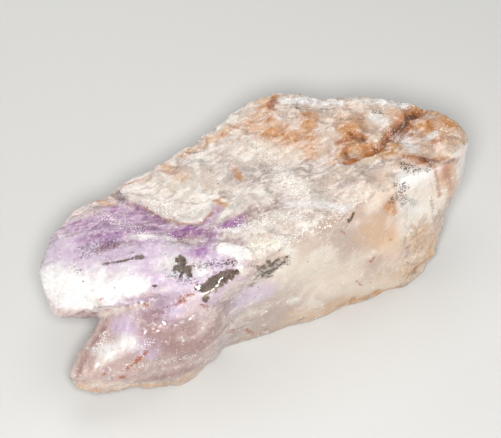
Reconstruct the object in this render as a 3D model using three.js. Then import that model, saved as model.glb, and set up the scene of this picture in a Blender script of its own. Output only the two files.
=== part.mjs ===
// A rough amethyst crystal: one broken piece of milky quartz, as long as a thumb. Its front is a steep
// wall under a long crest. The top slopes back from the crest to a thin edge. At the left end an upper
// lobe and a lower foot stand apart like jaws, and at the right end a leaning head overhangs the base.
// Millimetres, +Z up, +X along the stone. The middle of the flat underside's level is the origin.
import * as THREE from "three";
import { ConvexHull } from "three/addons/math/ConvexHull.js";
import { ImprovedNoise } from "three/addons/math/ImprovedNoise.js";
import { mergeVertices } from "three/addons/utils/BufferGeometryUtils.js";

const at = (x, y, z) => new THREE.Vector3(x, y, z);

// Main heights and planes of the stone, which the corners below share
const crestZ = 20.5; // top of the long front crest
const headZ = 20.2; // top of the right-hand head
const backZ = 12.5; // thin edge along the back
const lobeZ = 13.5; // tip of the upper left lobe
const wallY = -13; // plane of the steep front wall
const crestBevel = 1.1; // how far the rounded crest is cut off, both downwards and backwards

// Every ray that shapes the stone starts at its heart, which sees the whole surface
const heart = at(-2, -2, 9.6);
const rootSize = 3;
const rootCorners = [-rootSize, rootSize].flatMap((x) =>
  [-rootSize, rootSize].flatMap((y) => [-rootSize, rootSize].map((z) => at(x, y, z).add(heart))),
);

// The crest, from the foot of the lobe to the dip before the head
const crestLine = [
  at(-10.4, wallY - 0.5, crestZ - 2.2),
  at(-4.8, wallY - 1.7, crestZ - 0.2),
  at(1.6, wallY - 1.4, crestZ),
  at(8.7, wallY - 0.7, crestZ - 0.7),
  at(15.2, wallY - 0.2, crestZ - 1.5),
];

// Corners of the long block: head, back edge, overhanging right end, lower back, base
const blockCorners = [
  ...crestLine.map(({ x, y, z }) => at(x, y, z - crestBevel)),
  ...crestLine.map(({ x, y, z }) => at(x, y + crestBevel, z)),
  at(19.3, wallY + 1.9, headZ),
  at(25.4, wallY + 1.3, headZ - 0.5),
  at(28.9, -9, headZ - 1.8),
  at(29.4, -6.4, headZ - 2.2),
  at(29.4, -4, headZ - 2.8),
  at(28.9, -1.4, headZ - 3.3),
  at(27.6, 2.2, headZ - 4.1),
  at(23.2, 7.4, backZ + 2.2),
  at(17.2, 13.2, backZ + 0.9),
  at(13.6, 15.7, backZ + 0.5),
  at(8.8, 15.1, backZ + 0.2),
  at(0, 12.1, backZ),
  at(-13.8, 10.6, backZ - 0.5),
  at(26.8, -10.4, 10.4),
  at(24.5, -11.2, 6.8),
  at(23, -12.3, 3.4),
  at(21.6, -12.5, 1.2),
  at(24.6, -1, 6.5),
  at(17.5, 8.6, 5.5),
  at(10.6, 13.2, 7.6),
  at(-2, 10.6, 6.2),
  at(-12.5, 8.2, 6.4),
  at(20.6, -11.6, 0),
  at(17.6, wallY - 0.3, 0),
  at(13.1, wallY + 0.7, 0),
  at(3.2, wallY + 1, 0),
  at(-6, wallY + 2.6, 0),
  at(-13, wallY + 3.6, 0),
  at(18.5, -1.5, 0),
  at(9.5, 5.5, 0),
  at(-4, 5, 0),
  at(-13, -1, 0),
];

// The crease where the lobe's slope meets the foot's face, from near the jaws' corner to the crest
const creaseCorners = [
  at(-21.2, -5.4, 11),
  at(-18.7, -6.5, 12.2),
  at(-15.1, -8.9, 14.3),
  at(-11.9, -12.1, 16.4),
  at(-9.8, wallY - 1, 18),
];
const jawsCorner = at(-21.8, -4.9, 9.1);

// Corners of the upper left lobe: its outline, then its own ridge, slantwise up to the crest
const lobeCorners = [
  ...creaseCorners,
  jawsCorner,
  at(-27.2, 2.5, lobeZ),
  at(-25, 4.6, lobeZ + 0.5),
  at(-21.7, 7.9, lobeZ - 0.5),
  at(-17.8, 10.2, lobeZ - 1.4),
  at(-13.8, 10.7, backZ - 0.4),
  at(-27.6, -0.4, lobeZ - 0.6),
  at(-27.8, -2.6, lobeZ - 1.9),
  at(-27.1, -3.4, lobeZ - 2.6),
  at(-23.4, -4.2, 10.2),
  at(-22.7, 4.1, 14.7),
  at(-17.6, 3.2, 15.6),
  at(-16.4, -4.9, 14.9),
  at(-13.2, -1.8, 16.7),
  at(-9.4, -7.4, 18),
  at(-6.8, -11.4, 19.8),
  at(-22, 2.5, 8.5),
  at(-17, 5, 6.5),
];

// Corners of the lower left foot, a wedge whose tip hangs just clear of the ground
const footCorners = [
  ...creaseCorners,
  jawsCorner,
  at(-29.2, -9.3, 6.2),
  at(-28.7, -10.9, 4.5),
  at(-26.8, -11.7, 3.9),
  at(-22.3, wallY + 0.8, 2.8),
  at(-19.4, wallY + 0.5, 1.3),
  at(-15.7, wallY, 0),
  at(-13.9, wallY + 0.1, 0),
  at(-9.5, wallY + 2.1, 0),
  at(-25.6, -7.4, 7.6),
  at(-23, wallY + 0.7, 5.8),
  at(-13, wallY - 0.3, 5.4),
  at(-10.6, wallY - 0.3, 8),
  at(-6, wallY + 1.1, 6.5),
  at(-6.4, wallY, 12),
  at(-14, -3, 0),
  at(-22, -6, 4.5),
];

// A thin plate left standing on the sloping top: its rim seen from above, each point with its height
const plateThickness = 0.9;
const plateRim = [
  at(-12.4, 10, 12.9),
  at(-11.9, 8.3, 13.4),
  at(-11, 5.1, 14.3),
  at(-10, 1.7, 15.2),
  at(-9.1, -0.9, 15.8),
  at(-6.5, -2, 16.1),
  at(-4.7, -1.2, 16),
  at(-2.8, 0.8, 15.5),
  at(-1.4, 4.4, 14.6),
  at(-2.2, 9.6, 13.2),
];
const plateMiddle = at(-6, 5, 14.4);
const plateCorners = plateRim.flatMap((corner) => [
  corner,
  corner.clone().lerp(plateMiddle, -0.16).setZ(corner.z - plateThickness),
]);

// Round chips knocked out of the surface. Each lies where a ray from the heart through a spot comes out
const chips = [
  // Dip between the crest and the head, the white chip of the crest, shallow hollows of the top
  { through: at(15.6, -11.2, 18.8), long: 4.6, wide: 2.8, deep: 0.8, along: at(-0.35, 1, -0.2) },
  { through: at(-7.1, -11.4, 19.5), long: 3.2, wide: 1.7, deep: 0.5, along: at(0.6, -1, 0.3) },
  { through: at(5, 2, 16), long: 9, wide: 5, deep: 0.6, along: at(1, 0.25, -0.1) },
  { through: at(-6.6, -5.6, 16.8), long: 4.2, wide: 2.2, deep: 0.6, along: at(1, -0.5, 0.2) },
  // Rusty groove and pit beside the head
  { through: at(21.6, -2.8, 17.4), long: 3.9, wide: 1.5, deep: 0.9, along: at(1, 0.56, -0.1) },
  { through: at(15.4, -4.4, 17.6), long: 2.8, wide: 1.2, deep: 0.6, along: at(1, -0.1, 0) },
  { through: at(18.2, 0.1, 16.4), long: 1.8, wide: 1.5, deep: 0.9, along: at(1, 0.4, 0) },
  // Ragged rim along the back edge
  { through: at(19.5, 10.8, 13.8), long: 2.6, wide: 1.5, deep: 0.6, along: at(-1, 1, 0) },
  { through: at(23.4, 6.8, 14.7), long: 2.2, wide: 1.4, deep: 0.5, along: at(-0.6, 1, 0) },
  // Scallops along the lower edge of the front wall
  { through: at(21.8, -11.7, 2.6), long: 2.2, wide: 1.4, deep: 0.5, along: at(0.5, 0, 1) },
  { through: at(13.6, -12.4, 0.8), long: 1.8, wide: 1.3, deep: 0.5, along: at(1, 0, 0) },
  { through: at(8.6, -12.3, 0.8), long: 2.4, wide: 1.3, deep: 0.5, along: at(1, 0, 0) },
  { through: at(1.2, -11.9, 0.9), long: 2.2, wide: 1.3, deep: 0.5, along: at(1, 0, 0) },
  { through: at(-21.9, -12.2, 2.6), long: 1.6, wide: 1.1, deep: 0.4, along: at(1, 0, -0.2) },
  // Wide shallow shells of the front wall, of the head's front and of the foot's face
  { through: at(3.5, -13.6, 10), long: 8, wide: 5, deep: 0.5, along: at(1, 0, 0.25) },
  { through: at(20.5, -12.6, 14), long: 5, wide: 3, deep: 0.5, along: at(0.1, 0, 1) },
  { through: at(-17.6, -10, 8.6), long: 5.4, wide: 2.6, deep: 0.6, along: at(1, -0.5, 0.7) },
  // Deep shells of the hidden back and of the overhang
  { through: at(5, 12.6, 9), long: 7, wide: 3.2, deep: 1.1, along: at(1, 0.2, 0.1) },
  { through: at(21.5, 5, 9.5), long: 6, wide: 4.2, deep: 1.2, along: at(-0.7, 0.7, 0) },
  { through: at(-9, 8.6, 8), long: 5.6, wide: 3, deep: 1, along: at(1, 0, 0) },
  { through: at(26, -6, 9.5), long: 3.8, wide: 3, deep: 0.8, along: at(0, 1, 0.2) },
  { through: at(-18.5, 3, 8), long: 4.6, wide: 2.8, deep: 0.8, along: at(1, 0.6, 0) },
];

const noise = new ImprovedNoise();

// Bends a face gently, and each one differently, so that its edges run as unevenly as on broken stone
function bend(point, salt) {
  const size = 4.2;
  return noise.noise(point.x / size + salt.x, point.y / size + salt.y, point.z / size + salt.z);
}

// The faces of the smallest block that holds some corners and the stone's root
function facesAround(corners) {
  const hull = new ConvexHull().setFromPoints([...corners, ...rootCorners]);
  return hull.faces.map((face) => {
    const { normal } = face;
    const isBase = normal.z < -0.999;
    const isWall = normal.y < -0.9;
    const bendSize = isBase ? 0 : isWall ? 0.16 : 0.6;
    return { normal, depth: -face.distanceToPoint(heart), salt: normal.clone().multiplyScalar(9), bendSize };
  });
}

// Distance along a ray from the heart to the face where it leaves a block, with the face's normal
function wayOut(faces, ray) {
  const reaches = faces.map(({ normal, depth }) => depth / Math.max(normal.dot(ray), 1e-9));
  const nearest = Math.min(...reaches);
  const point = ray.clone().multiplyScalar(nearest);
  let best = { reach: Infinity, normal: null };
  faces.forEach(({ normal, salt, bendSize }, i) => {
    if (reaches[i] > nearest + 1.2) return;
    const reach = reaches[i] + bendSize * bend(point, salt);
    if (reach < best.reach) best = { reach, normal };
  });
  return best;
}

// The farthest face of several blocks along a ray
function farthestFace(blocks, ray) {
  return blocks.map((faces) => wayOut(faces, ray)).reduce((best, hit) => (hit.reach > best.reach ? hit : best));
}

// A matrix that turns the ellipsoid of a chip into a unit ball
function chipToBall(blocks, { through, long, wide, deep, along }) {
  const ray = through.clone().sub(heart).normalize();
  const { reach, normal } = farthestFace(blocks, ray);
  const halfDepth = 3 * deep;
  const mouthShare = Math.sqrt(1 - (1 - deep / halfDepth) ** 2);
  const xAxis = along.clone().projectOnPlane(normal).normalize();
  const yAxis = normal.clone().cross(xAxis);
  const centre = heart.clone().addScaledVector(ray, reach).addScaledVector(normal, halfDepth - deep);
  return new THREE.Matrix4()
    .makeBasis(
      xAxis.multiplyScalar(long / mouthShare),
      yAxis.multiplyScalar(wide / mouthShare),
      normal.clone().multiplyScalar(halfDepth),
    )
    .setPosition(centre)
    .invert();
}

// Distance along a ray to where it enters a chip's ellipsoid, with the normal of the hollow left there
function wayIntoChip(toBall, ray, salt) {
  const start = heart.clone().applyMatrix4(toBall);
  const step = heart.clone().add(ray).applyMatrix4(toBall).sub(start);
  const a = step.lengthSq();
  const b = start.dot(step);
  const inside = b * b - a * (start.lengthSq() - 1);
  if (inside < 0 || b > 0) return null;
  const reach = (-b - Math.sqrt(inside)) / a;
  const outward = start.addScaledVector(step, reach);
  const bent = reach + 0.35 * bend(ray.clone().multiplyScalar(reach), salt);
  const toSpace = new THREE.Matrix3().setFromMatrix4(toBall).transpose();
  return { reach: bent, normal: outward.applyMatrix3(toSpace).normalize().negate() };
}

// The blocks that hold the stone, and the chips that are taken off it
const blocks = [blockCorners, lobeCorners, footCorners, plateCorners].map(facesAround);
const balls = chips.map((chip) => chipToBall(blocks, chip));

// The surface along a ray from the heart: the farthest face, cut back by any chip
function surfaceAlong(ray) {
  return balls.reduce((best, ball, i) => {
    const hit = wayIntoChip(ball, ray, at(3.1 * i, 1.7 * i, 2.3 * i));
    return hit && hit.reach < best.reach ? hit : best;
  }, farthestFace(blocks, ray));
}

// Each pair of joined vertices, once
function edgesOf(index) {
  const edges = new Map();
  for (let i = 0; i < index.length; i += 3)
    for (let k = 0; k < 3; k++) {
      const pair = [index[i + k], index[i + ((k + 1) % 3)]].sort((p, q) => p - q);
      edges.set(pair.join(), pair);
    }
  return [...edges.values()];
}

// Evens out the rays, so that the points where they leave the stone lie at like distances
function evenOut(rays, edges, passes) {
  for (let pass = 0; pass < passes; pass++) {
    const points = rays.map((ray) => ray.clone().multiplyScalar(surfaceAlong(ray).reach));
    const sums = points.map(() => at(0, 0, 0));
    const weights = points.map(() => 0);
    for (const [i, j] of edges) {
      const length = points[i].distanceTo(points[j]);
      sums[i].addScaledVector(points[j], length);
      sums[j].addScaledVector(points[i], length);
      weights[i] += length;
      weights[j] += length;
    }
    rays = sums.map((sum, i) => sum.divideScalar(weights[i]).lerp(points[i], 0.4).normalize());
  }
  return rays;
}

// Puts moved rays back wherever they have squeezed a triangle flat or turned it over
function uncrowd(moved, rays, index) {
  const spread = (list, i) => list[index[i]].dot(list[index[i + 1]].clone().cross(list[index[i + 2]]));
  const spreads = rays.map(() => 0);
  for (let i = 0; i < index.length; i += 3) spreads[i / 3] = spread(rays, i);
  let crowded = true;
  while (crowded) {
    crowded = false;
    for (let i = 0; i < index.length; i += 3) {
      if (spread(moved, i) >= 0.2 * spreads[i / 3]) continue;
      for (const vertex of index.slice(i, i + 3)) moved[vertex] = rays[vertex];
      crowded = true;
    }
  }
  return moved;
}

// Moves the rays that pass nearest to a crease onto it, so that the mesh keeps crisp edges
function snapToCreases(rays, index, edges) {
  const creaseCos = Math.cos(THREE.MathUtils.degToRad(9));
  const normals = rays.map((ray) => surfaceAlong(ray).normal);
  const best = rays.map(() => ({ share: 0.55, ray: null }));
  for (const [i, j] of edges) {
    if (normals[i].dot(normals[j]) > creaseCos) continue;
    let near = 0;
    let far = 1;
    for (let pass = 0; pass < 12; pass++) {
      const half = (near + far) / 2;
      const between = rays[i].clone().lerp(rays[j], half).normalize();
      if (surfaceAlong(between).normal.dot(normals[i]) > creaseCos) near = half;
      else far = half;
    }
    const crossing = rays[i].clone().lerp(rays[j], near).normalize();
    if (near < best[i].share) best[i] = { share: near, ray: crossing };
    if (1 - near < best[j].share) best[j] = { share: 1 - near, ray: crossing };
  }
  const moved = rays.map((ray, i) => best[i].ray ?? ray);
  return uncrowd(moved, rays, index);
}

// A repeatable random number from 0 to 1 for a cell of space
function chance(x, y, z, salt) {
  const s = Math.sin(x * 127.1 + y * 311.7 + z * 74.7 + salt * 53.3) * 43758.5453;
  return s - Math.floor(s);
}

// Shallow bowls that meet in ridges, as on broken quartz: 0 in the middle of a bowl, more at its rim
function bowls(point, size) {
  const [x0, y0, z0] = point.toArray().map((value) => Math.floor(value / size));
  let nearest = 4;
  for (let x = x0 - 1; x <= x0 + 1; x++)
    for (let y = y0 - 1; y <= y0 + 1; y++)
      for (let z = z0 - 1; z <= z0 + 1; z++) {
        const dx = x + chance(x, y, z, 1) - point.x / size;
        const dy = y + chance(x, y, z, 2) - point.y / size;
        const dz = z + chance(x, y, z, 3) - point.z / size;
        nearest = Math.min(nearest, dx * dx + dy * dy + dz * dz);
      }
  return nearest;
}

// How far the broken surface stands out of its flat faces, in millimetres
function roughness(point) {
  const wave = (size) => noise.noise(point.x / size + 7.3, point.y / size - 2.1, point.z / size + 4.7);
  const swell = 0.4 * wave(11) + 0.3 * wave(4.6) + 0.16 * wave(2.3);
  const broken = 0.75 * (bowls(point, 7) - 0.3) + 0.35 * (bowls(point, 3.4) - 0.3);
  const onWall = THREE.MathUtils.smoothstep(-point.y, 10.5, 12.5);
  return swell * (1 - 0.3 * onWall) + broken * (1 - 0.65 * onWall);
}

// Carves a ball of rays back to the stone's surface, then roughens all of it but the flat underside
function carve(detail) {
  const blank = new THREE.IcosahedronGeometry(1, detail);
  blank.deleteAttribute("normal");
  blank.deleteAttribute("uv");
  const geometry = mergeVertices(blank);
  const positions = geometry.attributes.position;
  const index = geometry.index.array;
  const edges = edgesOf(index);
  const halfSize = at(29, 15, 10);
  const rays = Array.from({ length: positions.count }, (_, i) => {
    const onBlank = at(0, 0, 0).fromBufferAttribute(positions, i).multiply(halfSize);
    return onBlank.setZ(onBlank.z + halfSize.z).sub(heart).normalize();
  });
  const evenRays = evenOut(rays, edges, 12);
  const snappedOnce = snapToCreases(evenRays, index, edges);
  snapToCreases(snappedOnce, index, edges).forEach((ray, i) => {
    const point = ray.clone().multiplyScalar(surfaceAlong(ray).reach).add(heart);
    const offGround = THREE.MathUtils.smoothstep(point.z, 0, 2.5);
    if (offGround > 0) point.addScaledVector(ray, offGround * roughness(point));
    positions.setXYZ(i, point.x, point.y, Math.max(point.z, 0));
  });
  geometry.computeBoundingBox();
  const { min, max } = geometry.boundingBox;
  geometry.translate(-(min.x + max.x) / 2, -(min.y + max.y) / 2, -min.z);
  geometry.computeVertexNormals();
  return geometry;
}

const stoneDetail = 20; // an icosahedron's faces are each cut into (detail + 1) squared triangles

const milkyAmethyst = new THREE.MeshStandardMaterial({
  color: 0xd9cbd3,
  roughness: 0.35,
  metalness: 0,
  flatShading: true,
});

const stone = new THREE.Mesh(carve(stoneDetail), milkyAmethyst);
stone.name = "amethyst_crystal";

const group = new THREE.Group();
group.add(stone);

export default group;
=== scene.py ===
import math
import bpy
import numpy as np
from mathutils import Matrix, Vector


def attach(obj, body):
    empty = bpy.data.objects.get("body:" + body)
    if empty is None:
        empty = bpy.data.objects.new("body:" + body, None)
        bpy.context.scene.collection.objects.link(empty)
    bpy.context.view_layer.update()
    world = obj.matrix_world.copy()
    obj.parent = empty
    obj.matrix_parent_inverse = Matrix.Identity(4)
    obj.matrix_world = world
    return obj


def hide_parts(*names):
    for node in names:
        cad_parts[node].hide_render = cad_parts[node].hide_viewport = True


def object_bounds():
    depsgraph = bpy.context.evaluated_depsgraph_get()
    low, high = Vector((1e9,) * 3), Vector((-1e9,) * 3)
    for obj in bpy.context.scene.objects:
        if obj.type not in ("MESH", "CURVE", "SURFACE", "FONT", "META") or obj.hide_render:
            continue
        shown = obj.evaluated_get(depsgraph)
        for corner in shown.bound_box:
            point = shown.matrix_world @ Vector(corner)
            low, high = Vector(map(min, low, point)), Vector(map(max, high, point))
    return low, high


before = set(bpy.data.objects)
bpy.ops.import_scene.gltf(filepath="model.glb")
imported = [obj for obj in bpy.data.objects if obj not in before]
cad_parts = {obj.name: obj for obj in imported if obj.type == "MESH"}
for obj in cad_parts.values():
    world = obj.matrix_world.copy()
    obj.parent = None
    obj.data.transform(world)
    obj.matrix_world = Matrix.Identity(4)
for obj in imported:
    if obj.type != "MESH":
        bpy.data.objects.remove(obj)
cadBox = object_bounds()
mm = 0.001
print("frame loaded:", [round(float(v), 4) for v in cadBox[1] - cadBox[0]], "m")

# The camera stands where the photograph's did: before the stone, above it and a little to its left.
# All in mm and degrees.
view = {
    "azimuth": -30.0,
    "elevation": 48.0,
    "aim": (-1.410, -6.147, 16.6),
    "distance": 320.0,
    "lens": 186.0,
    "near": 10.0,
    "far": 10000.0,
}

# name: (place in mm, width in mm, power in watts, colour)
lamps = {
    "keyLight": ((-110, -190, 240), 80, 1.52, (1.0, 0.985, 0.96)),
    "fillLight": ((220, -130, 120), 180, 0.11, (0.97, 0.98, 1.0)),
    "topLight": ((30, 70, 280), 200, 0.24, (1.0, 1.0, 1.0)),
    "backLight": ((60, 240, 80), 140, 0.17, (1.0, 0.97, 0.93)),
}
lampAim = (0, 0, 8)
sky = {"colour": (0.95, 0.96, 1.0, 1), "strength": 0.2}


# the view's directions to the right, up and back to the camera
def viewAxes():
    turn, rise = math.radians(view["azimuth"]), math.radians(view["elevation"])
    right = Vector((math.cos(turn), math.sin(turn), 0))
    back = Vector((math.sin(turn) * math.cos(rise), -math.cos(turn) * math.cos(rise), math.sin(rise)))
    return right, back.cross(right), back


def addCamera():
    back = viewAxes()[2]
    bpy.ops.object.camera_add()
    camera = bpy.context.object
    camera.name = "stoneCamera"
    camera.location = (Vector(view["aim"]) + back * view["distance"]) * mm
    camera.rotation_euler = (-back).to_track_quat("-Z", "Y").to_euler()
    camera.data.lens = view["lens"]
    camera.data.clip_start = view["near"] * mm
    camera.data.clip_end = view["far"] * mm
    bpy.context.scene.camera = camera


def addLamps():
    target = Vector(lampAim) * mm
    for name, (place, width, power, colour) in lamps.items():
        where = Vector(place) * mm
        bpy.ops.object.light_add(type="AREA", location=where)
        lamp = bpy.context.object
        lamp.name = name
        lamp.rotation_euler = (target - where).to_track_quat("-Z", "Y").to_euler()
        lamp.data.shape = "DISK"
        lamp.data.size = width * mm
        lamp.data.energy = power
        lamp.data.color = colour
    world = bpy.data.worlds.new("paleSky")
    world.use_nodes = True
    background = world.node_tree.nodes["Background"]
    background.inputs["Color"].default_value = sky["colour"]
    background.inputs["Strength"].default_value = sky["strength"]
    bpy.context.scene.world = world


addCamera()
addLamps()
print("camera and lamps placed")


# A socket that can be added, subtracted and multiplied like a number.
class Flow:
    def __init__(self, socket, kit):
        self.socket = socket
        self.kit = kit

    def __add__(self, other):
        return self.kit.math("ADD", self, other)

    def __radd__(self, other):
        return self.kit.math("ADD", other, self)

    def __sub__(self, other):
        return self.kit.math("SUBTRACT", self, other)

    def __rsub__(self, other):
        return self.kit.math("SUBTRACT", other, self)

    def __mul__(self, other):
        return self.kit.math("MULTIPLY", self, other)

    def __rmul__(self, other):
        return self.kit.math("MULTIPLY", other, self)


# The nodes of one material, made through one method and laid out in rows.
class Kit:
    rowLength, acrossStep, downStep = 40, 220, -260

    def __init__(self, name):
        self.material = bpy.data.materials.new(name)
        self.material.use_nodes = True
        self.tree = self.material.node_tree
        self.tree.nodes.clear()
        self.count = 0

    # settings go on the node first; a socket is given by name, or by number as i0, i1 and so on
    def put(self, kind, settings=None, **sockets):
        node = self.tree.nodes.new("ShaderNode" + kind)
        down, across = divmod(self.count, self.rowLength)
        node.location = (across * self.acrossStep, down * self.downStep)
        self.count += 1
        for key, value in (settings or {}).items():
            setattr(node, key, value)
        for key, value in sockets.items():
            socket = node.inputs[int(key[1:])] if key[0] == "i" and key[1:].isdigit() else node.inputs[key]
            if isinstance(value, Flow):
                self.tree.links.new(value.socket, socket)
            else:
                socket.default_value = value
        return node

    def out(self, node, name=0):
        return Flow(node.outputs[name], self)

    def math(self, operation, a, b):
        return self.out(self.put("Math", {"operation": operation}, i0=a, i1=b))

    def vector(self, operation, a, b):
        return self.out(self.put("VectorMath", {"operation": operation}, i0=a, i1=b))

    def dot(self, a, b):
        return self.out(self.put("VectorMath", {"operation": "DOT_PRODUCT"}, i0=a, i1=b), "Value")

    def join(self, x, y, z):
        return self.out(self.put("CombineXYZ", {}, X=x, Y=y, Z=z))

    def blend(self, factor, a, b):
        node = self.put("Mix", {"data_type": "RGBA", "clamp_factor": True}, i0=factor)
        for index, value in ((6, a), (7, b)):
            if isinstance(value, Flow):
                self.tree.links.new(value.socket, node.inputs[index])
            else:
                node.inputs[index].default_value = value
        return self.out(node, 2)

    # a soft change from least, where the value is at start, to most, where it is at full
    def step(self, value, start, full, least=0.0, most=1.0):
        settings = {"interpolation_type": "SMOOTHSTEP", "clamp": True}
        return self.out(self.put("MapRange", settings, i0=value, i1=start, i2=full, i3=least, i4=most))

    def noise(self, place, scale, detail=2.0, rough=0.5, warp=0.0):
        sockets = {"Vector": place, "Scale": scale, "Detail": detail, "Roughness": rough, "Distortion": warp}
        return self.out(self.put("TexNoise", {}, **sockets), "Fac")

    def cells(self, place, scale, feature="F1"):
        return self.out(self.put("TexVoronoi", {"feature": feature}, Vector=place, Scale=scale), "Distance")

    # each cell is a plane with its own tilt, so that the height looks like little flat breaks
    def breaks(self, place, scale, tilt):
        cell = self.put("TexVoronoi", {"feature": "F1"}, Vector=place, Scale=scale)
        lean = self.vector("SUBTRACT", self.out(cell, "Color"), (0.5, 0.5, 0.5))
        scaled = self.vector("MULTIPLY", place, (scale, scale, scale))
        away = self.vector("SUBTRACT", scaled, self.out(cell, "Position"))
        return self.dot(lean, away) * (tilt / scale)

    # the place pressed almost flat along one direction, so that noise on it runs in long grain that way
    def squeeze(self, place, way, pressed=0.9):
        along = self.dot(place, way) * pressed
        return self.vector("SUBTRACT", place, self.join(*(along * part for part in way)))

    def trait(self, name):
        return self.out(self.put("Attribute", {"attribute_type": "GEOMETRY", "attribute_name": name}), "Fac")


# directions of the fine lines up the foot and along the rusty groove
footGrain = (3.5, 5.0, 4.5)
grooveGrain = (7.8, 4.2, -1.4)

# The stone: how its mesh is made. Lengths are in mm.
stone = {
    "weldGap": 0.001, "coarseVoxel": 0.32, "fineVoxel": 0.27,
    "facets": 6000,
    "calmSmoothing": 9, "blur": 60,  # rounds of smoothing
    "maskLevels": 20,
    "flatBelow": 0.12,  # lower than this, the stone rests on the ground
    "calm": {"wall": 1.0, "foot": 0.7, "head": 0.75},  # how calm each zone is
    "calmBreaks": 0.94, "calmGrain": 0.9, "lobeBreaks": 0.4,  # share of the relief taken away there
    "plateFloor": 11.0, "plateReach": 5.0,  # lowest height of the plate, and how far round it is measured
    # name: (texture, its size, depth, mask, direction of the third size)
    "breaks": {
        "shells": ("bowls", (6.6, 4.4, 4.4), 0.8, "rough", (0.2, 0, 1)),
        "chips": ("cones", (2.7, 1.8, 1.8), 0.42, "rough", (0.3, 0.2, 1)),
        "headBreaks": ("cones", (3.51, 2.7, 2.7), 0.65, "headBreaks", (0.1, 0.6, 1)),
    },
    # mask: how far its parts stand out, or in where below 0
    "steps": {"plateRise": 0.45, "lensRise": 0.4, "footRise": 0.32, "notches": -0.6, "rustyCuts": -0.7},
    "grains": {
        "nicks": ("cones", (1.2, 0.75, 0.75), 0.16, "rough", None),
        "grain": ("clouds", (0.36, 0.36, 0.36), 0.12, "grainy", None),
        "frost": ("cones", (0.8, 0.8, 0.8), 0.4, "frosty", None),
        "headLines": ("clouds", (0.5, 0.8, 9), 0.091, "headGrooves", (-0.28, -0.1, 1)),
        "footLines": ("clouds", (0.7, 0.7, 8), 0.442, "footGrooves", footGrain),
        "lobeLines": ("clouds", (0.8, 0.8, 6), 0.26, "lobeGrooves", (1.0, -0.55, 0.15)),
    },
}

# Round and sharp hollows, and soft grain.
textureKinds = {
    "bowls": ("VORONOI", {"distance_metric": "DISTANCE_SQUARED", "noise_scale": 1.0, "noise_intensity": 1.0}),
    "cones": ("VORONOI", {"distance_metric": "DISTANCE", "noise_scale": 1.0, "noise_intensity": 1.0}),
    "clouds": ("CLOUDS", {"noise_scale": 1.0, "noise_depth": 1}),
}

# Zones of the stone. Each is a list of what is measured, where the zone starts and where it is full:
# x, z and slant (x + y) in mm, front and up as how far the surface faces that way, plate in mm inside
# the plate's outline, and a kind of mark as the distance from its lines over half their width.
zones = {
    "ground": [("z", 0.15, 1.2)],
    "wall": [("front", 0.5, 0.75), ("x", -10, -4), ("x", 20, 16)],
    "foot": [("x", -7, -12), ("z", 14, 12)],
    "head": [("x", 15, 17), ("front", 0.3, 0.6), ("z", 9, 12)],
    "lobe": [("x", -9, -13)],
    "headTop": [("x", 10, 14), ("up", 0.2, 0.6)],
    "headFront": [("x", 14.5, 17), ("front", 0.3, 0.6), ("z", 9, 12)],
}

# Where relief of each kind lies, in the same way. The plate stands up crisply in front and fades
# into the slope behind, and the foot stands out over its lower edge.
masks = {
    "frosty": [("frostRim", 1.8, 0.6)],
    "headGrooves": [("x", 14.5, 16.5), ("front", 0.2, 0.6)],
    "footGrooves": [("x", -11, -15), ("z", 14, 11)],
    "lobeGrooves": [("x", -9, -14), ("z", 11, 14)],
    "rustyCuts": [("groove", 1.5, 0.0)],
    "footRise": [("x", -9, -11), ("z", 12, 10), ("footEdge", 1.5, 1.9)],
    "notches": [("notch", 2.0, 0.4)],
    "lensRise": [("lens", 1.5, 1.0)],
    "plateRise": [("plate", -0.1, 0.2), ("slant", 0, -7)],
}

# The photograph that the marks were picked in: its size in pixels, the mm that a pixel spans at the
# distance of the view's aim, and how many pixels beside the stone a pick may lie.
photo = {"width": 501, "height": 438, "pixel": 0.1236, "reach": 11}

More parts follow.
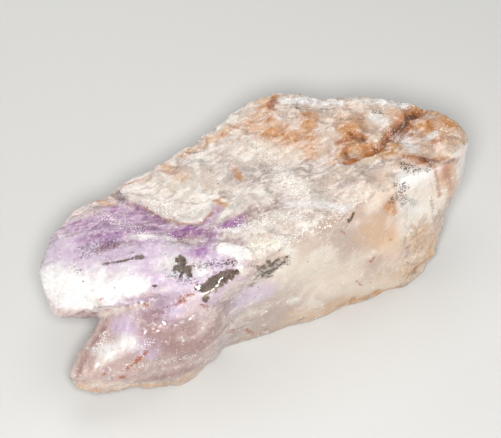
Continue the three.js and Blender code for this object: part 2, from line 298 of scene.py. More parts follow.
# The marks on the stone, picked in the photograph as short lines: pixels across and down of
# one end, then of the other end, then half the line's width in pixels.
marks = {
    "violet": [
        (72, 228, 120, 216, 10), (92, 228, 155, 230, 13), (112, 208, 150, 218, 9), (126, 216, 148, 226, 9),
        (165, 232, 238, 222, 6), (198, 250, 212, 236, 7), (135, 211, 165, 224, 6), (172, 229, 206, 225, 6),
        (206, 221, 216, 208, 5),
    ],
    # mauve: the stone's mauve tint, and painted shade in hollows and in the valley between the foot and the
    # wall
    "mauve": [
        (138, 382, 190, 368, 5), (78, 378, 104, 330, 3), (185, 236, 225, 222, 8), (180, 225, 235, 240, 7),
        (150, 335, 185, 350, 14), (98, 248, 130, 242, 4), (240, 217, 282, 202, 11),
        (180, 240, 208, 240, 8), (228, 305, 208, 335, 13), (165, 342, 195, 345, 10),
        (150, 315, 190, 330, 12), (205, 342, 222, 330, 6), (85, 212, 100, 206, 7),
    ],
    "lilac": [
        (60, 255, 200, 268, 34), (125, 325, 150, 345, 12), (120, 300, 170, 310, 14),
        (240, 300, 262, 290, 16),
    ],
    # white: the stone's white frost, and painted highlights on lit slopes, crests and facets
    "white": [
        (50, 278, 115, 285, 17), (60, 300, 90, 300, 8), (105, 290, 138, 288, 9), (130, 236, 172, 240, 4),
        (285, 203, 345, 206, 6), (374, 114, 384, 120, 6), (396, 132, 412, 148, 7), (410, 180, 428, 176, 8),
        (404, 205, 418, 212, 7), (102, 352, 130, 342, 8), (404, 180, 436, 170, 10),
        (225, 230, 236, 230, 3), (165, 264, 200, 270, 9), (425, 138, 436, 132, 4),
    ],
    # sparkle: where painted glints gather
    "sparkle": [
        (290, 236, 335, 220, 9), (134, 347, 149, 341, 6), (125, 366, 193, 354, 4), (98, 350, 106, 336, 6),
        (300, 198, 308, 205, 6), (328, 198, 345, 212, 8), (353, 197, 360, 200, 5), (213, 227, 238, 231, 5),
        (290, 97, 340, 103, 9), (360, 98, 402, 104, 9), (374, 112, 386, 120, 6), (396, 132, 410, 147, 8),
        (240, 225, 300, 215, 12), (262, 150, 300, 190, 14), (165, 232, 182, 240, 6),
        (235, 250, 285, 238, 9), (150, 200, 175, 215, 9), (190, 212, 206, 204, 8), (440, 128, 456, 136, 8),
        (105, 215, 150, 236, 9),
    ],
    # lens: a small chip, painted white as a highlight on its facet
    "lens": [
        (225, 247, 239, 253, 8), (239, 253, 246, 254, 5),
    ],
    "cream": [
        (150, 185, 205, 200, 20), (412, 205, 432, 200, 17), (330, 290, 400, 284, 10),
        (95, 385, 150, 384, 6), (105, 312, 150, 304, 4), (290, 270, 340, 280, 22),
        (250, 150, 300, 150, 16),
    ],
    "honey": [
        (250, 245, 276, 240, 6.5), (230, 235, 236, 236, 2.5),
    ],
    "tan": [
        (420, 106, 384, 150, 14), (262, 96, 270, 125, 8), (345, 120, 365, 150, 12),
        (440, 160, 455, 190, 8), (400, 290, 340, 306, 4), (412, 272, 436, 250, 3), (160, 160, 182, 176, 7),
        (185, 152, 262, 112, 7), (233, 165, 240, 176, 3.5), (250, 125, 292, 138, 13),
        (308, 115, 311, 152, 8), (428, 106, 450, 124, 9), (405, 115, 442, 134, 13),
        (440, 166, 452, 196, 7), (390, 202, 396, 214, 3), (95, 198, 110, 204, 5), (118, 187, 150, 176, 3),
        (335, 160, 352, 138, 9), (388, 206, 394, 214, 4), (215, 200, 226, 205, 3),
        (418, 112, 390, 150, 11), (390, 150, 348, 160, 6), (346, 128, 360, 145, 10),
    ],
    # glowing: a painted warm glow on the lower right of the wall
    "glowing": [
        (300, 318, 395, 284, 16), (395, 284, 430, 250, 12), (370, 228, 395, 240, 16),
        (410, 225, 430, 245, 12),
    ],
    "footEdge": [
        (76, 388, 128, 391, 7), (128, 391, 170, 387, 8), (170, 387, 198, 372, 8), (198, 372, 215, 356, 5),
    ],
    # a painted highlight on the lower left of the lobe
    "lobeHighlight": [
        (50, 285, 105, 295, 15), (110, 288, 138, 285, 9), (60, 300, 90, 305, 6),
    ],
    "notch": [
        (417, 271, 421, 267, 3.5), (372, 298, 376, 293, 3), (352, 303, 354, 299, 2),
        (300, 325, 303, 320, 2.5), (262, 336, 265, 331, 2),
    ],
    "groove": [
        (422, 107, 404, 122, 9), (404, 122, 390, 138, 8), (390, 138, 372, 152, 7), (372, 152, 348, 162, 4),
        (354, 132, 362, 137, 5),
    ],
    "brown": [
        (337, 142, 353, 137, 2.5), (386, 150, 346, 160, 2.5), (405, 157, 436, 160, 3),
        (430, 163, 458, 161, 3), (268, 116, 274, 96, 4), (433, 141, 440, 140, 3.5),
        (344, 146, 350, 160, 2), (217, 199, 224, 196, 2), (420, 160, 436, 166, 3.5),
        (446, 168, 452, 192, 3), (436, 172, 440, 196, 2),
    ],
    "darkBrown": [
        (416, 111, 398, 128, 4), (400, 128, 382, 150, 1.6), (410, 112, 390, 138, 1.5),
        (437, 165, 456, 160, 2), (354, 135, 362, 136, 3), (335, 155, 337, 147, 1), (365, 153, 376, 151, 1),
        (346, 152, 348, 158, 1.4), (420, 158, 432, 162, 2),
    ],
    "rust": [
        (341, 230, 345, 234, 1), (347, 229, 349, 231, 0.8), (329, 240, 329, 246, 0.8),
        (356, 281, 362, 286, 1.2), (126, 368, 136, 360, 1.8), (134, 361, 147, 350, 2.2),
        (176, 303, 184, 300, 2), (202, 305, 208, 308, 2.2), (143, 305, 147, 305, 1.6),
        (166, 306, 173, 305, 1.2), (229, 332, 234, 331, 2.4), (246, 330, 253, 334, 2.2),
        (371, 261, 374, 258, 2.4), (160, 312, 164, 311, 1.2), (353, 298, 354, 298, 1.2),
        (316, 309, 317, 309, 1.2), (180, 296, 194, 295, 1.3), (91, 290, 93, 290, 1.4),
        (131, 299, 133, 299, 1.2), (101, 373, 104, 373, 1.4), (119, 376, 123, 375, 1.4),
        (374, 238, 376, 238, 1), (390, 240, 391, 240, 1), (103, 299, 97, 300, 1.2),
    ],
    "dark": [
        (182, 262, 184, 269, 5), (177, 267, 188, 269, 4.2), (180, 257, 184, 259, 2.6),
        (182, 273, 180, 277, 1.3), (174, 263, 177, 262, 1.3), (176, 258, 178, 261, 2.2),
        (187, 270, 190, 276, 2.4), (211, 284, 222, 280, 7.5), (222, 279, 230, 276, 5.5),
        (230, 276, 237, 272, 2.6), (204, 288, 211, 285, 2.6), (204, 289, 206, 301, 3.4),
        (198, 287, 205, 291, 2.6), (262, 266, 266, 268, 1.8), (268, 262, 272, 266, 2.2),
        (274, 262, 278, 260, 1.8), (266, 272, 270, 274, 2.2), (272, 270, 277, 268, 2.4),
        (280, 266, 284, 262, 1.8), (262, 274, 264, 277, 1.7), (268, 277, 272, 276, 1.8),
        (284, 258, 288, 257, 1.6), (257, 268, 260, 270, 1.5), (137, 258, 142, 257, 2.8),
        (104, 264, 122, 261, 1.7), (122, 261, 136, 258, 1.5), (132, 252, 134, 251, 1.2),
        (153, 287, 157, 286, 1.3), (354, 213, 350, 221, 1.6), (348, 219, 349, 223, 1.1),
        (294, 170, 297, 170, 1.5), (251, 287, 253, 284, 1.2), (253, 267, 258, 266, 1.4),
        (194, 266, 205, 262, 1.2), (203, 262, 205, 272, 1.5), (341, 176, 348, 177, 1),
    ],
    "specks": [
        (288, 106, 300, 108, 3), (318, 107, 332, 108, 4), (374, 110, 382, 112, 3), (263, 272, 286, 262, 9),
        (260, 277, 276, 264, 6), (250, 286, 254, 284, 2), (196, 266, 232, 262, 5), (168, 272, 196, 282, 5),
        (82, 252, 116, 240, 9), (394, 200, 405, 187, 6), (86, 204, 100, 211, 5), (440, 215, 436, 222, 3),
        (75, 268, 82, 272, 4), (428, 170, 437, 160, 4), (405, 165, 418, 170, 6), (60, 225, 70, 235, 5),
        (118, 190, 124, 200, 5), (396, 186, 404, 204, 5), (430, 185, 434, 210, 2.5),
        (398, 195, 415, 205, 4),
    ],
    # grey: the stone's grey tone, and painted shade on slopes turned from the light and in hollows
    "grey": [
        (60, 226, 96, 206, 6), (390, 160, 345, 182, 8), (310, 108, 330, 112, 5), (205, 214, 228, 222, 5),
        (240, 170, 330, 165, 14), (112, 190, 124, 198, 5),
    ],
    "frostRim": [
        (284, 97, 340, 102, 7), (360, 98, 402, 103, 8),
    ],
}
marks["white"] += marks["frostRim"]

# The thin edge that glows amber where light leaves the stone: pixels across and down of each point.
glowLine = [
    (74, 387), (95, 391), (124, 391), (131, 386), (170, 387), (200, 375), (216, 358), (235, 341),
    (260, 332), (290, 322), (330, 312), (352, 303), (372, 292), (395, 290), (411, 275), (424, 264),
    (433, 243), (444, 212), (453, 185), (459, 160), (463, 135), (452, 119), (430, 109), (405, 99),
    (370, 98), (340, 97), (300, 96), (266, 94), (238, 110), (200, 140), (150, 174), (104, 196),
    (84, 205),
]
glowHalfWidth = 3.24
marks["glow"] = [(*a, *b, glowHalfWidth) for a, b in zip(glowLine, glowLine[1:])]

# the same marks as lines on the stone, in mm: both ends and half the width
markLines = {}

# How marks are painted: where the colour starts and where it is full, in half widths from the mark's
# line, how far its edge wanders, and how strong it is.
edges = {
    "grey": (2.0, 0.0, 1.0, 0.42), "glowing": (2.0, 0.0, 1.0, 0.5), "footEdge": (1.5, 0.4, 1.0, 0.5),
    "lilac": (1.7, 0.5, 1.0, 0.75), "mauve": (1.8, 0.0, 1.0, 0.72), "violet": (2.4, 0.1, 1.2, 1.0),
    "cream": (1.8, 0.1, 1.4, 0.7), "tan": (1.9, 0.0, 1.2, 1.0), "white": (1.8, 0.1, 1.4, 1.0),
    "lobeHighlight": (2.0, 0.0, 1.0, 1.0), "honey": (1.5, 0.4, 0.8, 0.8), "groove": (2.1, 0.3, 0.7, 1.0),
    "brown": (2.2, 0.1, 0.9, 1.0), "darkBrown": (2.0, 0.4, 0.8, 1.0), "glow": (1.5, 0.0, 0.8, 1.0),
    "sparkle": (1.6, 0.3, 0.6, 1.0), "specks": (1.3, 0.4, 1.0, 1.0),
    "lens": (1.2, 0.8, 0.5, 1.0), "rust": (1.6, 0.5, 1.2, 1.0), "dark": (1.2, 0.95, 0.85, 1.0),
}

# The outline of the thin plate on the top, seen from above, in mm.
plateOutline = [
    (-12.1, 7.7), (-11.0, 4.2), (-10.0, 0.7), (-9.3, -2.1), (-8.0, -3.2), (-6.4, -3.3),
    (-4.9, -2.4), (-3.4, -0.7), (-3.2, 3.0), (-4.5, 7.0), (-7.0, 9.0),
]


def select(piece=None):
    bpy.ops.object.select_all(action="DESELECT")
    if piece:
        piece.select_set(True)
        bpy.context.view_layer.objects.active = piece


def modify(piece, kind, **settings):
    select(piece)
    bpy.ops.object.modifier_add(type=kind)
    modifier = piece.modifiers[-1]
    for key, value in settings.items():
        setattr(modifier, key, value)
    bpy.ops.object.modifier_apply(modifier=modifier.name)


def remesh(piece, voxel):
    modify(piece, "REMESH", mode="VOXEL", voxel_size=voxel * mm, use_smooth_shade=True)


def smooth(piece, times, mask=""):
    modify(piece, "SMOOTH", factor=0.5, iterations=times, vertex_group=mask)


# all points of the mesh, in mm
def points(piece):
    flat = np.empty(len(piece.data.vertices) * 3, np.float32)
    piece.data.vertices.foreach_get("co", flat)
    return flat.reshape(-1, 3) / mm


def normals(piece):
    flat = np.empty(len(piece.data.vertices) * 3, np.float32)
    piece.data.vertex_normals.foreach_get("vector", flat)
    return flat.reshape(-1, 3)


def smoothStep(value, start, full):
    t = np.clip((value - start) / (full - start), 0, 1)
    return t * t * (3 - 2 * t)


# steps from a pick in the photograph to the pixels round it, the nearest first
reach = range(-photo["reach"], photo["reach"] + 1)
nearbySteps = [(dx, dy) for dy in reach for dx in reach]
nearbySteps.sort(key=lambda step: max(abs(step[0]), abs(step[1])))


# the place on the stone that a pick shows, to a tenth of a mm; a pick just beside it takes the nearest
def onStone(piece, across, down):
    right, up, back = viewAxes()
    eye = Vector(view["aim"]) + back * view["distance"]
    for dx, dy in nearbySteps:
        toRight = (across + dx - photo["width"] / 2) * photo["pixel"]
        toTop = (photo["height"] / 2 - down - dy) * photo["pixel"]
        ray = right * toRight + up * toTop - back * view["distance"]
        hit, place, _, _ = piece.ray_cast(eye * mm, ray.normalized())
        if hit:
            return [round(part / mm, 1) for part in place]
    raise ValueError("no stone near the pick")


def placeMarks(piece):
    bpy.context.view_layer.update()
    for kind, picks in marks.items():
        markLines[kind] = [
            (*onStone(piece, *pick[0:2]), *onStone(piece, *pick[2:4]), round(pick[4] * photo["pixel"], 2))
            for pick in picks
        ]


# distance from each point to each line, over the line's half width, and the least of them
def nearness(at, lines):
    least = np.full(len(at), np.inf)
    for line in lines:
        a, b, half = np.array(line[0:3]), np.array(line[3:6]), line[6]
        along = (b - a) / np.dot(b - a, b - a)
        t = np.clip((at - a) @ along, 0, 1)
        away = np.linalg.norm(at - a - t[:, None] * (b - a), axis=1)
        least = np.minimum(least, away / half)
    return least


# distance in mm from the plate's outline, above 0 inside it
def insidePlate(at):
    inside = np.zeros(len(at), bool)
    away = np.full(len(at), np.inf)
    flat = at[:, :2]
    for (ax, ay), (bx, by) in zip(plateOutline, plateOutline[1:] + plateOutline[:1]):
        crosses = (ay > flat[:, 1]) != (by > flat[:, 1])
        where = ax + (flat[:, 1] - ay) / (by - ay) * (bx - ax)
        inside ^= crosses & (flat[:, 0] < where)
        a, b = np.array((ax, ay)), np.array((bx, by))
        t = np.clip((flat - a) @ (b - a) / np.dot(b - a, b - a), 0, 1)
        away = np.minimum(away, np.linalg.norm(flat - a - t[:, None] * (b - a), axis=1))
    return np.where(at[:, 2] > stone["plateFloor"], np.where(inside, away, -away), -np.inf)


# how fully each point lies in a zone, from 0 to 1
def share(at, facing, zone):
    x, y, z = at.T
    measures = {"x": x, "z": z, "slant": x + y, "front": -facing[:, 1], "up": facing[:, 2]}
    inside = np.ones(len(at))
    for what, start, full in zone:
        if what in measures:
            value = measures[what]
        elif what == "plate":
            value = insidePlate(at)
        else:
            value = nearness(at, markLines[what])
        inside = inside * smoothStep(value, start, full)
    return inside


# how smooth the stone is at each point: most on the front wall, less on the foot and the head's front
def calmness(at, facing):
    calmParts = [strength * share(at, facing, zones[name]) for name, strength in stone["calm"].items()]
    return np.max(calmParts, axis=0)


def addMask(piece, name, weights):
    group = piece.vertex_groups.new(name=name)
    levels = stone["maskLevels"]
    steps = np.round(np.clip(weights, 0, 1) * levels).astype(int)
    for level in range(1, levels + 1):
        chosen = np.nonzero(steps == level)[0]
        if len(chosen):
            group.add([int(i) for i in chosen], level / levels, "REPLACE")


# where each kind of relief shows, from 0 to 1, as vertex groups
def addMasks(piece):
    at, facing = points(piece), normals(piece)
    offGround = share(at, facing, zones["ground"])
    calm = calmness(at, facing)
    offLobe = 1 - stone["lobeBreaks"] * share(at, facing, zones["lobe"])
    piece.vertex_groups.clear()
    addMask(piece, "calmParts", offGround * calm)
    addMask(piece, "rough", offGround * offLobe * (1 - stone["calmBreaks"] * calm))
    addMask(piece, "grainy", offGround * (1 - stone["calmGrain"] * calm))
    addMask(piece, "headBreaks", offGround * (1 - calm) * share(at, facing, zones["headTop"]))
    for name, zone in masks.items():
        addMask(piece, name, offGround * share(at, facing, zone))


# an empty that gives a relief texture its size and direction, in mm
def addRuler(size, along):
    select()
    bpy.ops.object.empty_add()
    ruler = bpy.context.object
    ruler.scale = Vector(size) * mm
    if along:
        ruler.rotation_euler = Vector(along).to_track_quat("Z", "Y").to_euler()
    bpy.context.view_layer.update()
    return ruler


def addReliefs(piece, reliefs):
    for name, (kind, size, depth, mask, along) in reliefs.items():
        textureType, settings = textureKinds[kind]
        texture = bpy.data.textures.new(name, textureType)
        for key, value in settings.items():
            setattr(texture, key, value)
        ruler = addRuler(size, along)
        modify(
            piece, "DISPLACE", texture=texture, texture_coords="OBJECT", texture_coords_object=ruler,
            strength=depth * mm, mid_level=0.5, direction="NORMAL", vertex_group=mask,
        )
        bpy.data.objects.remove(ruler)


def copySolid():
    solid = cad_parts["amethyst_crystal"]
    select(solid)
    bpy.ops.object.duplicate()
    piece = bpy.context.object
    piece.name = "brokenAmethyst"
    piece.parent = None
    for key in list(piece.keys()):
        if key.startswith("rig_"):
            del piece[key]
    bpy.ops.object.mode_set(mode="EDIT")
    bpy.ops.mesh.select_all(action="SELECT")
    bpy.ops.mesh.remove_doubles(threshold=stone["weldGap"] * mm)
    bpy.ops.object.mode_set(mode="OBJECT")
    return piece


# how far the surface stands out of its own blurred shape: above 0 on edges, below 0 in hollows, in mm
def standOut(piece):
    select(piece)
    bpy.ops.object.duplicate()
    blurred = bpy.context.object
    smooth(blurred, stone["blur"])
    away = points(piece) - points(blurred)
    out = (away * normals(blurred)).sum(1)
    bpy.data.objects.remove(blurred)
    return out


def addTrait(piece, name, values):
    trait = piece.data.attributes.new(name, "FLOAT", "POINT")
    trait.data.foreach_set("value", np.asarray(values, np.float32))


# what the material reads: how near each point is to each kind of mark, and in which zones it lies
def addTraits(piece):
    at, facing = points(piece), normals(piece)
    for kind in edges:
        addTrait(piece, kind, nearness(at, markLines[kind]))
    addTrait(piece, "calm", calmness(at, facing))
    addTrait(piece, "headFront", share(at, facing, zones["headFront"]))
    addTrait(piece, "plateDepth", np.maximum(insidePlate(at), -stone["plateReach"]))


# the underside stays flat, and no point leaves the solid's box
def settle(piece):
    at = points(piece)
    at[:, 2] = np.where(at[:, 2] < stone["flatBelow"], 0, at[:, 2])
    low, high = (np.array(corner) / mm for corner in cadBox)
    at = np.clip(at, low, high)
    piece.data.vertices.foreach_set("co", (at * mm).astype(np.float32).ravel())
    piece.data.update()


def carveStone(piece):
    remesh(piece, stone["coarseVoxel"])
    smooth(piece, 1)
    addMasks(piece)
    smooth(piece, stone["calmSmoothing"], "calmParts")
    addReliefs(piece, stone["breaks"])
    # flat breaks: few faces first, then a fine even mesh over them
    modify(piece, "DECIMATE", ratio=stone["facets"] / (2 * len(piece.data.polygons)))
    remesh(piece, stone["fineVoxel"])
    smooth(piece, 1)
    print("stone remeshed:", len(piece.data.polygons), "faces")
    addTraits(piece)
    addMasks(piece)
    for mask, step in stone["steps"].items():
        modify(piece, "DISPLACE", strength=step * mm, mid_level=0, vertex_group=mask)
    addReliefs(piece, stone["grains"])
    settle(piece)
    piece.vertex_groups.clear()
    select(piece)
    bpy.ops.object.shade_smooth()


brokenAmethyst = copySolid()
placeMarks(brokenAmethyst)
print("marks placed:", sum(len(lines) for lines in markLines.values()))
carveStone(brokenAmethyst)
addTrait(brokenAmethyst, "crest", standOut(brokenAmethyst))
print("stone carved:", len(brokenAmethyst.data.vertices), "points")

# The colours of the stone, as sRGB from 0 to 255.
hues = {
    "milk": (234, 218, 204), "cloud": (252, 245, 236), "smoke": (196, 176, 164), "shade": (150, 124, 112),
    "peach": (242, 202, 162), "pink": (226, 198, 202), "mauve": (160, 120, 116),
    "lilac": (228, 212, 242), "violet": (168, 98, 174), "deepViolet": (126, 62, 150),
    "cream": (250, 236, 218), "white": (253, 251, 250), "tan": (208, 136, 30),
    "brown": (174, 94, 6), "darkBrown": (98, 52, 12), "rust": (176, 84, 12),
    "olive": (108, 84, 50), "ink": (50, 36, 24), "grey": (160, 148, 146), "amber": (240, 160, 76),
    "honey": (255, 245, 222), "slate": (92, 88, 104), "glowing": (250, 202, 142),
}

# Patterns inside and on the stone: scale per mm, detail, roughness and warp of the noise.
patterns = {
    "big": (0.11, 3, 0.55), "swell": (0.45, 2), "middle": (0.42, 4, 0.6, 0.6), "small": (1.7, 3, 0.65),
    "fine": (6.0, 3, 0.7), "sugar": (9.0, 2, 0.7), "streak": (1.1, 3, 0.6, 0.8),
    "footStreaks": (1.5, 3, 0.6), "grooveStreaks": (1.7, 2, 0.5), "headLines": (1.0, 3, 0.6),
    "glints": (5.2, 2, 0.6), "grit": (4.4, 3, 0.7),
}
stretches = {"streak": (0.35, 1.4, 2.2), "grit": (0.62, 0.9, 1.5), "headLines": (2.6, 0.6, 0.16)}
glintShift = (31, 17, 5)
veins = {"warpScale": 0.8, "warpDetail": 3.0, "cells": 0.45}
rareCells = 0.42

# Layers of colour: where the pattern or place that a layer follows has it start and has it full, and
# how strong the layer is at the one and at the other.
layers = {
    "clouds": (0.35, 0.65), "smoke": (0.56, 0.36, 0, 0.55), "calmSmoke": (0.66, 0.38, 0, 0.65),
    "peachToRight": (0, 24, 0, 0.55), "pinkToLeft": (-2, -16, 0, 0.7), "mauveBelow": (9, 2, 0, 0.35),
    "footToLeft": (-8, -13), "footTop": (13.5, 11.5),
    "footLight": (0.5, 0.7, 0, 0.4), "footDark": (0.45, 0.3, 0, 0.4),
    "hollows": (-0.04, -0.26), "crests": (0.1, 0.36, 0, 0.5),
    "grainOffLobe": (-6, -12, 1, 0.15), "sugarLight": (0.52, 0.68), "sugarDark": (0.46, 0.34),
    "headLight": (0.36, 0.56, 0.4, 0.85), "headWarm": (0.4, 0.3, 0, 0.3),
    "onPlate": (-0.04, 0.06), "plateCloud": (0.36, 0.56, 0, 0.45), "plateBorder": (0.8, 0.2, 0, 0.35),
    "deepViolet": (0.48, 0.66, 0, 0.6), "tan": (0.32, 0.55, 0.48, 0.98), "white": (0.32, 0.48, 0.45, 0.98),
    "lobeHighlight": (0.36, 0.6, 0.45, 0.95),
    "behind": (6, 12), "behindTop": (13, 11), "behindStreaks": (0.5, 0.62, 0, 0.6),
    "rimOutside": (-0.2, -0.06), "rimInside": (0.14, 0.0), "rimInFront": (-5, -8),
    "rim": (0.36, 0.58, 0, 0.5),
    "groove": (0.36, 0.56, 0.45, 0.95), "brown": (0.34, 0.52, 0.6, 1.0), "darkBrown": (0.4, 0.54, 0.4, 0.9),
    "rust": (0.38, 0.5), "veins": (0.045, 0.01), "veinParts": (0.5, 0.62, 0, 0.6),
    "glints": (0.665, 0.7), "glintParts": (0.42, 0.5), "dots": (0.56, 0.6), "dotParts": (0.05, 0.3),
    "offLobe": (-12, -8), "dotStrength": (-12, -8, 0.6, 0.9), "rare": (0.07, 0.045, 0, 0.8),
    "darkTone": (0.42, 0.58), "amber": (0.35, 0.6, 0, 0.55),
}

# How strong a layer is on rough stone, and how much less on calm stone.
calming = {
    "hollows": (0.55, 0.3), "sugarLight": (0.5, 0.4), "sugarDark": (0.42, 0.35),
    "flatBreaks": (1.0, 0.9), "swell": (0.3, 0.16),
}

finish = {
    "ior": 1.544, "seeThrough": 0.46,
    "underglow": 0.7, "underglowDepth": 4.0, "underglowTint": (1.0, 0.8, 0.75),
    "coat": 0.75, "coatRoughness": 0.08,
    "roughness": 0.1, "roughClouds": 0.14, "roughStains": 0.3,
    "violet": 0.85, "violetOnPlate": 0.15, "dark": 0.96, "calmGlints": 0.9,
    "lean": 0.3, "headLean": 0.28,  # how far lines and zones lean to the right as they go down
    "shine": 0.25, "shineTint": (1.0, 0.97, 0.93, 1), "lensShine": 0.5, "headShine": 0.45, "lobeShine": 0.7,
    "haze": (0.97, 0.88, 0.8, 1), "hazeDensity": 22.0,
    "flatBreaks": ((0.9, 0.6), (2.6, 0.8)),  # cells per mm, and tilt
    "bump": 0.7,
}


def hue(name):
    def linear(part):
        part /= 255
        return part / 12.92 if part <= 0.04045 else ((part + 0.055) / 1.055) ** 2.4
    return tuple(linear(part) for part in hues[name]) + (1.0,)


def milkyAmethyst():
    kit = Kit("milkyAmethyst")
    place = kit.vector("MULTIPLY", kit.out(kit.put("TexCoord"), "Object"), (1 / mm,) * 3)
    split = kit.put("SeparateXYZ", {}, Vector=place)
    x, y, z = (kit.out(split, axis) for axis in "XYZ")

    def pattern(name, at=place):
        return kit.noise(at, *patterns[name])

    # a pattern as a shift to both sides of 0
    def sway(noise, amount):
        return (noise - 0.5) * amount

    def layer(name, value):
        return kit.step(value, *layers[name])

    def onRough(name):
        most, less = calming[name]
        return most - calm * less

    big, middle, small, fine = (pattern(name) for name in ("big", "middle", "small", "fine"))
    streak = pattern("streak", kit.vector("MULTIPLY", place, stretches["streak"]))
    grit = pattern("grit", kit.vector("MULTIPLY", place, stretches["grit"]))
    footStreaks = pattern("footStreaks", kit.squeeze(place, Vector(footGrain).normalized()))
    grooveStreaks = pattern("grooveStreaks", kit.squeeze(place, Vector(grooveGrain).normalized()))
    ragged = sway(middle, 2.2) + sway(small, 1.6)
    crumbly = sway(small, 2.6) + sway(fine, 2.2)

    # a kind's strength on its marks, 0 away from them
    def marked(kind, edge=ragged):
        start, full, wander, strength = edges[kind]
        return kit.step(kit.trait(kind) + edge * wander, start, full, 0.0, strength)

    calm, crest = kit.trait("calm"), kit.trait("crest")
    headFront, plateDepth = kit.trait("headFront"), kit.trait("plateDepth")
    onPlate = layer("onPlate", plateDepth + crumbly * 0.04)
    leaning = x + z * finish["lean"]
    onFoot = layer("footToLeft", leaning) * layer("footTop", z)
    colour = kit.blend(layer("clouds", middle), hue("milk"), hue("cloud"))

    def paint(where, name):
        nonlocal colour
        colour = kit.blend(where, colour, hue(name))

    # milky body: warmer to the right, pinker to the left
    paint(layer("smoke", big + sway(small, 0.3)), "smoke")
    paint(layer("peachToRight", x + sway(middle, 14)), "peach")
    paint(layer("pinkToLeft", x + sway(middle, 10)), "pink")
    paint(layer("mauveBelow", z + x * finish["lean"] + sway(middle, 8)), "mauve")
    # the grey marks: grey tone, and painted shade
    paint(marked("grey"), "grey")
    paint(calm * layer("calmSmoke", middle + sway(big, 1.2)), "smoke")
    # a painted warm glow on the lower right of the wall
    paint(marked("glowing"), "glowing")
    paint(onFoot * layer("footLight", footStreaks), "cloud")
    paint(onFoot * layer("footDark", footStreaks), "mauve")
    paint(marked("footEdge"), "peach")
    # painted shade: hollows are darker and warmer
    paint(layer("hollows", crest + sway(small, 0.2)) * onRough("hollows"), "shade")
    # sugary grain, weak where the surface is calm
    sugar = pattern("sugar") + sway(fine, 0.6)
    grained = layer("grainOffLobe", x)
    paint(layer("sugarLight", sugar) * grained * onRough("sugarLight"), "white")
    paint(layer("sugarDark", sugar) * grained * onRough("sugarDark"), "grey")
    paint(marked("lilac"), "lilac")
    # the mauve marks: mauve tint, and painted shade in hollows and the valley by the foot
    paint(marked("mauve"), "mauve")
    # steep fine lines down the front of the head, and a painted highlight that makes that lit front paler
    upright = kit.join(x + z * finish["headLean"], y, z)
    headLines = pattern("headLines", kit.vector("MULTIPLY", upright, stretches["headLines"]))
    paint(headFront * layer("headLight", headLines), "cloud")
    paint(headFront * layer("headWarm", headLines), "tan")

    # the violet band under the plate, and the pale plate itself
    violet = marked("violet") * (1 - onPlate * (1 - finish["violetOnPlate"]))
    paint(violet * finish["violet"], "violet")
    paint(violet * layer("deepViolet", streak), "deepViolet")
    paint(marked("cream"), "cream")
    paint(onPlate * layer("plateCloud", small), "cloud")
    paint(onPlate * layer("plateBorder", plateDepth), "white")
    paint(marked("tan") * layer("tan", small), "tan")
    # the white marks: white frost, and painted highlights
    paint(marked("white") * layer("white", small + sway(fine, 0.6)), "white")
    # a painted highlight on the lobe
    lobeHighlight = marked("lobeHighlight")
    paint(lobeHighlight * layer("lobeHighlight", streak + sway(small, 0.4)), "white")
    paint(marked("honey"), "honey")
    # the lens chip, painted white as a highlight
    lens = marked("lens", crumbly)
    paint(lens, "white")
    behind = layer("behind", y + sway(middle, 8)) * layer("behindTop", z)
    paint(behind * layer("behindStreaks", streak), "tan")

    # stains
    plateEdge = plateDepth + sway(small, 0.3)
    rim = layer("rimOutside", plateEdge) * layer("rimInside", plateEdge) * layer("rimInFront", y + x)
    paint(rim * layer("rim", small), "tan")
    paint(marked("groove") * layer("groove", grooveStreaks), "brown")
    paint(marked("brown") * layer("brown", streak + sway(fine, 0.3)), "brown")
    paint(marked("darkBrown") * layer("darkBrown", grooveStreaks), "darkBrown")
    paint(marked("rust", crumbly) * layer("rust", fine), "rust")

    # white frost lines, and painted glints
    warp = kit.put("TexNoise", {}, Vector=place, Scale=veins["warpScale"], Detail=veins["warpDetail"])
    warp = kit.out(warp, "Color")
    veinEdges = kit.cells(kit.vector("ADD", place, warp), veins["cells"], "DISTANCE_TO_EDGE")
    paint(layer("veins", veinEdges + sway(fine, 0.06)) * layer("veinParts", small), "white")
    sparkle = marked("sparkle")
    glints = layer("glints", pattern("glints", kit.vector("ADD", place, glintShift)) + sparkle * 0.1)
    glints = glints * layer("glintParts", small + sparkle * 0.1)
    glints = glints * (1 - calm * finish["calmGlints"] * (1 - sparkle))
    paint(glints, "white")

    # dark specks
    inSpecks = marked("specks")
    dots = layer("dots", grit + inSpecks * 0.07) * layer("dotParts", inSpecks)
    dotTone = kit.blend(layer("offLobe", x), hue("slate"), hue("ink"))
    colour = kit.blend(dots * layer("dotStrength", x), colour, dotTone)
    paint(layer("rare", kit.cells(place, rareCells) + sway(fine, 0.06)), "darkBrown")
    dark = marked("dark", crumbly)
    darkTone = kit.blend(layer("darkTone", grit), hue("olive"), hue("ink"))
    colour = kit.blend(dark * finish["dark"], colour, darkTone)

    # painted light: an amber glow where light leaves by the thin edges, and painted highlights on the crests
    paint(marked("glow") * layer("amber", middle), "amber")
    paint(layer("crests", crest + sway(small, 0.25)), "cream")

    # painted glow: the whitest places, the lens, the lobe's highlight, the head's front and the glints, give
    # off a little light of their own
    bright = lens * finish["lensShine"] + lobeHighlight * finish["lobeShine"]
    bright = bright + headFront * finish["headShine"] + glints
    shine = kit.blend(bright, (0, 0, 0, 1), finish["shineTint"])
    rough = finish["roughness"] + (middle + small) * finish["roughClouds"] + dark * finish["roughStains"]

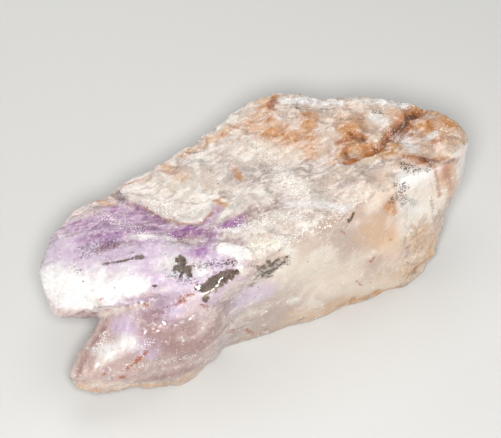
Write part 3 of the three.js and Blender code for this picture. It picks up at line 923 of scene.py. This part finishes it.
    # the height of the bump in mm, calmer where the stone is calm
    height = sum(kit.breaks(place, scale, tilt) for scale, tilt in finish["flatBreaks"])
    height = (height + sway(fine, 0.1) + sway(small, 0.25)) * onRough("flatBreaks")
    height = height + sway(pattern("swell"), onRough("swell"))
    bump = kit.put("Bump", {}, Strength=finish["bump"], Distance=mm, Height=height)

    shader = kit.put("BsdfPrincipled", {}, **{
        "Base Color": colour,
        "Roughness": rough,
        "IOR": finish["ior"],
        "Transmission Weight": finish["seeThrough"],
        "Subsurface Weight": finish["underglow"],
        "Subsurface Radius": finish["underglowTint"],
        "Subsurface Scale": finish["underglowDepth"] * mm,
        "Coat Weight": finish["coat"],
        "Coat Roughness": finish["coatRoughness"],
        "Emission Color": shine,
        "Emission Strength": finish["shine"],
        "Normal": kit.out(bump, "Normal"),
    })
    haze = kit.put("VolumeAbsorption", {}, Color=finish["haze"], Density=finish["hazeDensity"])
    out = kit.put("OutputMaterial")
    kit.tree.links.new(shader.outputs["BSDF"], out.inputs["Surface"])
    kit.tree.links.new(haze.outputs["Volume"], out.inputs["Volume"])
    return kit.material


brokenAmethyst.data.materials.clear()
brokenAmethyst.data.materials.append(milkyAmethyst())
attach(brokenAmethyst, "root")
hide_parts("amethyst_crystal")
print("stone finished")

# The floor, in mm: it lies just below the stone so that the two don't share a plane.
floorLook = {"width": 1200.0, "drop": 0.02, "colour": (0.48, 0.48, 0.47, 1), "roughness": 0.55}


def addFloor():
    select()
    bpy.ops.mesh.primitive_plane_add(size=floorLook["width"] * mm, location=(0, 0, -floorLook["drop"] * mm))
    floor = bpy.context.object
    floor.name = "paleFloor"
    kit = Kit("palePaper")
    paper = {"Base Color": floorLook["colour"], "Roughness": floorLook["roughness"]}
    shader = kit.put("BsdfPrincipled", {}, **paper)
    out = kit.put("OutputMaterial")
    kit.tree.links.new(shader.outputs["BSDF"], out.inputs["Surface"])
    floor.data.materials.append(kit.material)


addFloor()
bpy.context.scene.view_settings.view_transform = "Standard"
print("floor laid")
